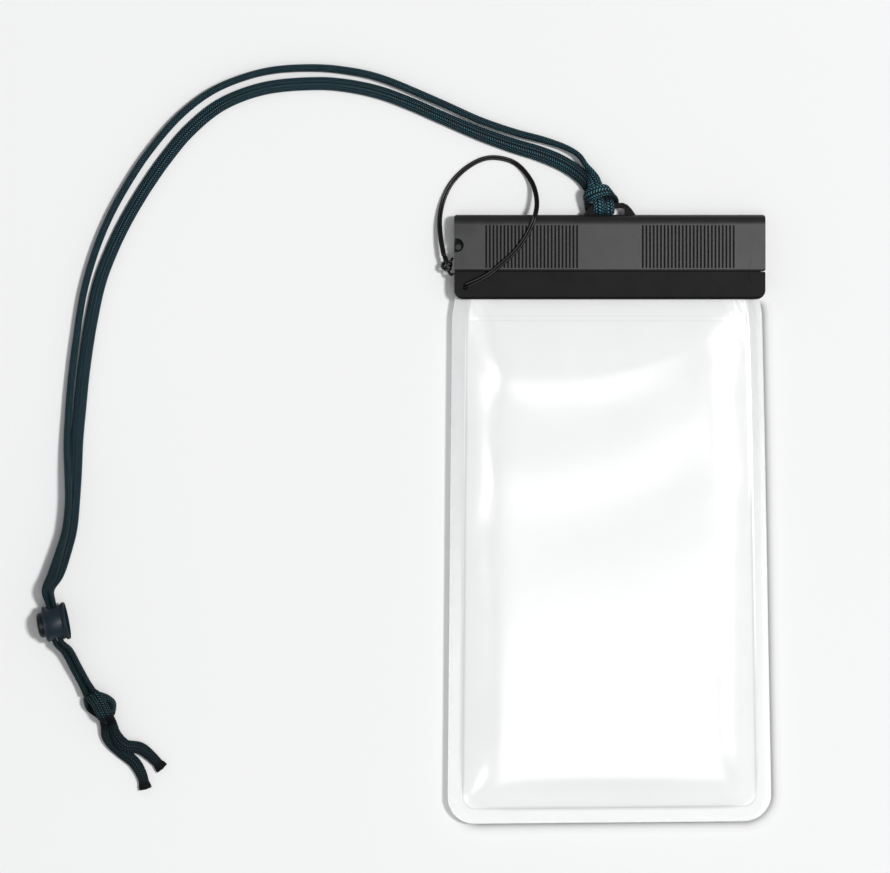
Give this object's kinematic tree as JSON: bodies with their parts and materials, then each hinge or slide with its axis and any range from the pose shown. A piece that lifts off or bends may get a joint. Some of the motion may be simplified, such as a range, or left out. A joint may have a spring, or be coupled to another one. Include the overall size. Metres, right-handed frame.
{
  "type": "waterproof phone pouch",
  "caption": "Clear waterproof phone pouch with a black two-jaw collar, a grey slider bar, a thin tether and a braided lanyard with a cord lock.",
  "frame": {"origin": "under the middle of the pouch and its head, on the surface that it lies on", "axes": "+Y towards the head and the eyelet, +X to the right seen from the front, +Z out of the front film"},
  "size_m": [0.2721, 0.2816, 0.0139],
  "materials": {
    "film": "clear glossy",
    "jaw": "satin",
    "seal": "matt",
    "slider": "fine matt",
    "tether": "glossy",
    "braid": "matt",
    "lock": "satin",
    "button": "satin",
    "spring": "bright"
  },
  "bodies": {
    "pouch": {"film_front": "film", "film_back": "film", "collar_front": "jaw", "collar_back": "jaw", "seal_gasket": "seal", "tether_strand_outer": "tether", "tether_strand_inner": "tether", "tether_knot": "tether"},
    "slider": {"slider_bar": "slider", "lanyard_hitch": "braid", "lanyard_strand_outer": "braid", "lanyard_strand_inner": "braid", "cord_lock_body": "lock", "cord_lock_spring": "spring", "lanyard_lower_outer": "braid", "lanyard_lower_inner": "braid", "lanyard_end_knot": "braid", "lanyard_tail_left": "braid", "lanyard_tail_right": "braid"},
    "lock_button": {"cord_lock_plunger": "button"}
  },
  "joints": [
    {"name": "slider_slide", "type": "slide", "parent": "pouch", "child": "slider", "axis": [1, 0, 0], "range_m": [0, 0.1]},
    {"name": "lock_button_press", "type": "slide", "parent": "slider", "child": "lock_button", "axis": [0.9816, 0.1908, 0], "range_m": [0, 0.0014], "stiffness_N_per_m": 800, "springref_m": -0.0015}
  ]
}
